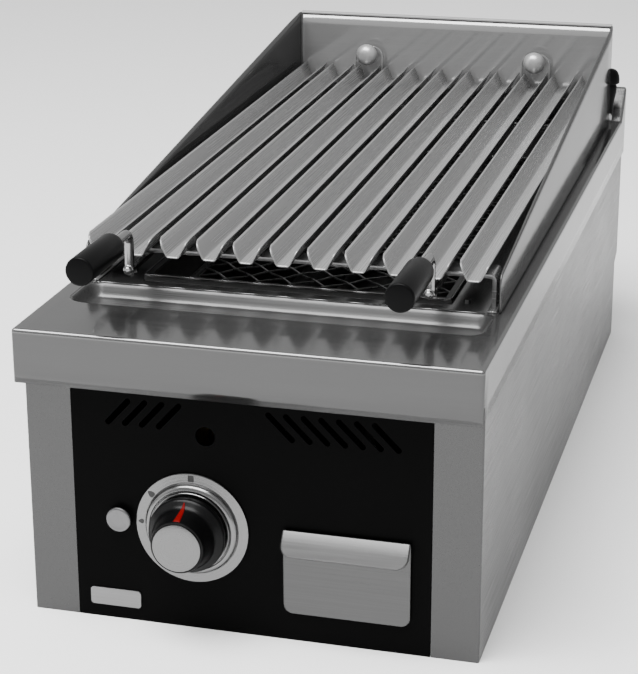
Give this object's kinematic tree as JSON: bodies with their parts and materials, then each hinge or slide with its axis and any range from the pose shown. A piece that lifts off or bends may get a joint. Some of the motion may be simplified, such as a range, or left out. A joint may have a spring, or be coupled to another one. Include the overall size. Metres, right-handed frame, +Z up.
{
  "type": "gas charbroiler",
  "caption": "Counter-top gas charbroiler: slatted sloping grate with lift handles, splash guard, grease trough, control knob and grease drawer in a steel casing.",
  "frame": {"origin": "centre of the flat underside, halfway across and halfway between the fascia and the rear edge of the worktop", "axes": "+Z up, -Y towards the cook and the control panel, +X to the right seen from the front"},
  "size_m": [0.4, 0.929, 0.382],
  "materials": {
    "stainless_sheet": "brushed",
    "polished_sheet": "polished",
    "bright_steel": "polished",
    "black_panel": "satin",
    "badge_plate": "satin",
    "black_plastic": "satin",
    "spun_cap": "spun",
    "red_mark": "gloss",
    "button_metal": "satin",
    "burner_steel": "blackened",
    "brass_parts": "machined",
    "pipe_steel": "plain",
    "ceramic": "glazed"
  },
  "bodies": {
    "casing": {"base_plate": "stainless_sheet", "blank_badge": "badge_plate", "burner_brackets": "burner_steel", "burner_header": "burner_steel", "burner_mesh": "burner_steel", "burner_tubes": "burner_steel", "control_panel": "black_panel", "dial_bezel": "bright_steel", "drain_spout": "bright_steel", "drawer_rail_left": "stainless_sheet", "drawer_rail_right": "stainless_sheet", "firebox": "burner_steel", "firebox_screws": "bright_steel", "gas_inlet": "brass_parts", "guard_studs": "bright_steel", "hanger_pins": "bright_steel", "igniter_body": "black_plastic", "injector": "brass_parts", "left_side_panel": "stainless_sheet", "rear_panel": "stainless_sheet", "rear_screws": "bright_steel", "right_side_panel": "stainless_sheet", "spark_electrode": "ceramic", "splash_guard": "polished_sheet", "supply_pipe": "pipe_steel", "thermocouple": "bright_steel", "valve_body": "brass_parts", "valve_inlet": "brass_parts", "valve_riser": "brass_parts", "worktop": "stainless_sheet"},
    "grate": {"channel_01": "polished_sheet", "channel_02": "polished_sheet", "channel_03": "polished_sheet", "channel_04": "polished_sheet", "channel_05": "polished_sheet", "channel_06": "polished_sheet", "channel_07": "polished_sheet", "channel_08": "polished_sheet", "channel_09": "polished_sheet", "channel_10": "polished_sheet", "channel_11": "polished_sheet", "front_bar": "polished_sheet", "rear_bar": "polished_sheet", "hanger_hooks": "polished_sheet", "handle_lugs": "polished_sheet", "handle_bolts": "bright_steel", "handle_arm_left": "bright_steel", "handle_arm_right": "bright_steel", "handle_grip_left": "black_plastic", "handle_grip_right": "black_plastic"},
    "valve_stem": {"valve_spindle": "brass_parts"},
    "control_knob": {"knob_grip": "black_plastic", "knob_cap": "spun_cap", "knob_pointer": "red_mark"},
    "igniter": {"igniter_button": "button_metal"},
    "grease_drawer": {"drawer_front": "stainless_sheet", "drawer_tray": "stainless_sheet"},
    "clamp_knob_left": {"guard_knob_left": "black_plastic"},
    "clamp_knob_right": {"guard_knob_right": "black_plastic"}
  },
  "joints": [
    {"name": "grate_tilt", "type": "hinge", "parent": "casing", "child": "grate", "pos_m": [0, 0.3915, 0.3422], "axis": [-1, 0, 0], "range_deg": [0, 45]},
    {"name": "valve_push", "type": "slide", "parent": "casing", "child": "valve_stem", "axis": [0, 1, 0], "range_m": [0, 0.003], "stiffness_N_per_m": 1500, "springref_m": -0.003},
    {"name": "knob_turn", "type": "hinge", "parent": "valve_stem", "child": "control_knob", "pos_m": [-0.0505, -0.4317, 0.0946], "axis": [0, -1, 0], "range_deg": [0, 180]},
    {"name": "igniter_push", "type": "slide", "parent": "casing", "child": "igniter", "axis": [0, 1, 0], "range_m": [0, 0.0035], "stiffness_N_per_m": 800, "springref_m": -0.003},
    {"name": "drawer_pull", "type": "slide", "parent": "casing", "child": "grease_drawer", "axis": [0, -1, 0], "range_m": [0, 0.28]},
    {"name": "clamp_left_turn", "type": "hinge", "parent": "casing", "child": "clamp_knob_left", "pos_m": [-0.1845, 0.4125, 0.29], "axis": [0, 0, 1], "range_deg": [0, 360]},
    {"name": "clamp_right_turn", "type": "hinge", "parent": "casing", "child": "clamp_knob_right", "pos_m": [0.1845, 0.4125, 0.29], "axis": [0, 0, 1], "range_deg": [0, 360]}
  ]
}
